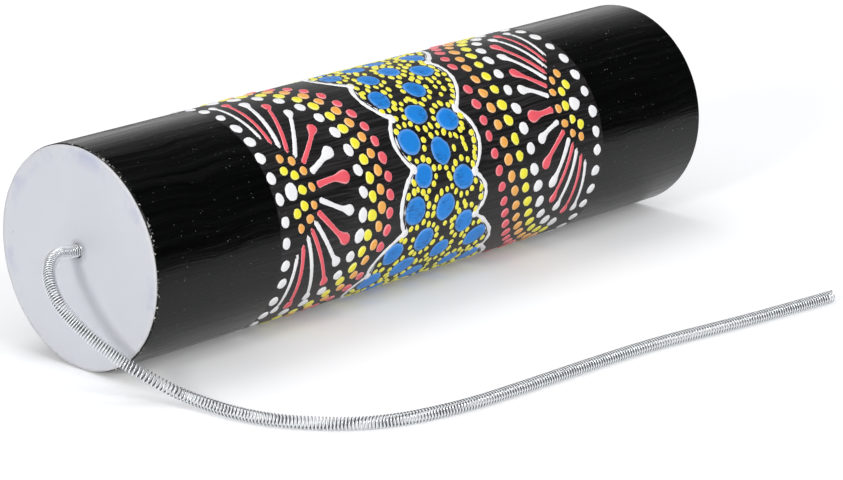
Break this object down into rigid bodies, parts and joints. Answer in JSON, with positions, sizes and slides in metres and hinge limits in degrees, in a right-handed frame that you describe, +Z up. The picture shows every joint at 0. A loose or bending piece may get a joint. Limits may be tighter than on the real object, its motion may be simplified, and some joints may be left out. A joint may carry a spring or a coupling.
{
  "type": "thunder tube",
  "caption": "Spring drum: an open board tube with a plastic skin across its end and a long limp coil spring hanging from the middle of the skin; shaken, it rumbles.",
  "frame": {"origin": "on the floor under the middle of the tube, which lies on its side", "axes": "+X along the tube from the skin to the open end, +Z up, the spring on the -Y side"},
  "size_m": [0.2743, 0.1622, 0.07],
  "materials": {
    "painted_board": "spiral-wound board, black paint, glossy at the ends and matt round the middle, with raised dots and strokes of paint",
    "head_film": "translucent white plastic film, satin",
    "clear_glue": "cloudy hot-melt glue, glossy",
    "zinc_steel": "zinc-plated steel",
    "spring_wire": "bright zinc-coated spring wire"
  },
  "bodies": {
    "drum": {"tube": "painted_board", "head_glue": "clear_glue", "drum_head": "head_film", "spring_washer": "zinc_steel", "toggle_pin": "zinc_steel", "pin_glue": "clear_glue"},
    "spring": {"spring": "spring_wire"}
  },
  "joints": [
    {"name": "spring_swing", "type": "hinge", "parent": "drum", "child": "spring", "pos_m": [-0.1243, 0, 0.0375], "axis": [0, 0, 1], "range_deg": [-60, 12], "deforming": ["spring"]}
  ]
}
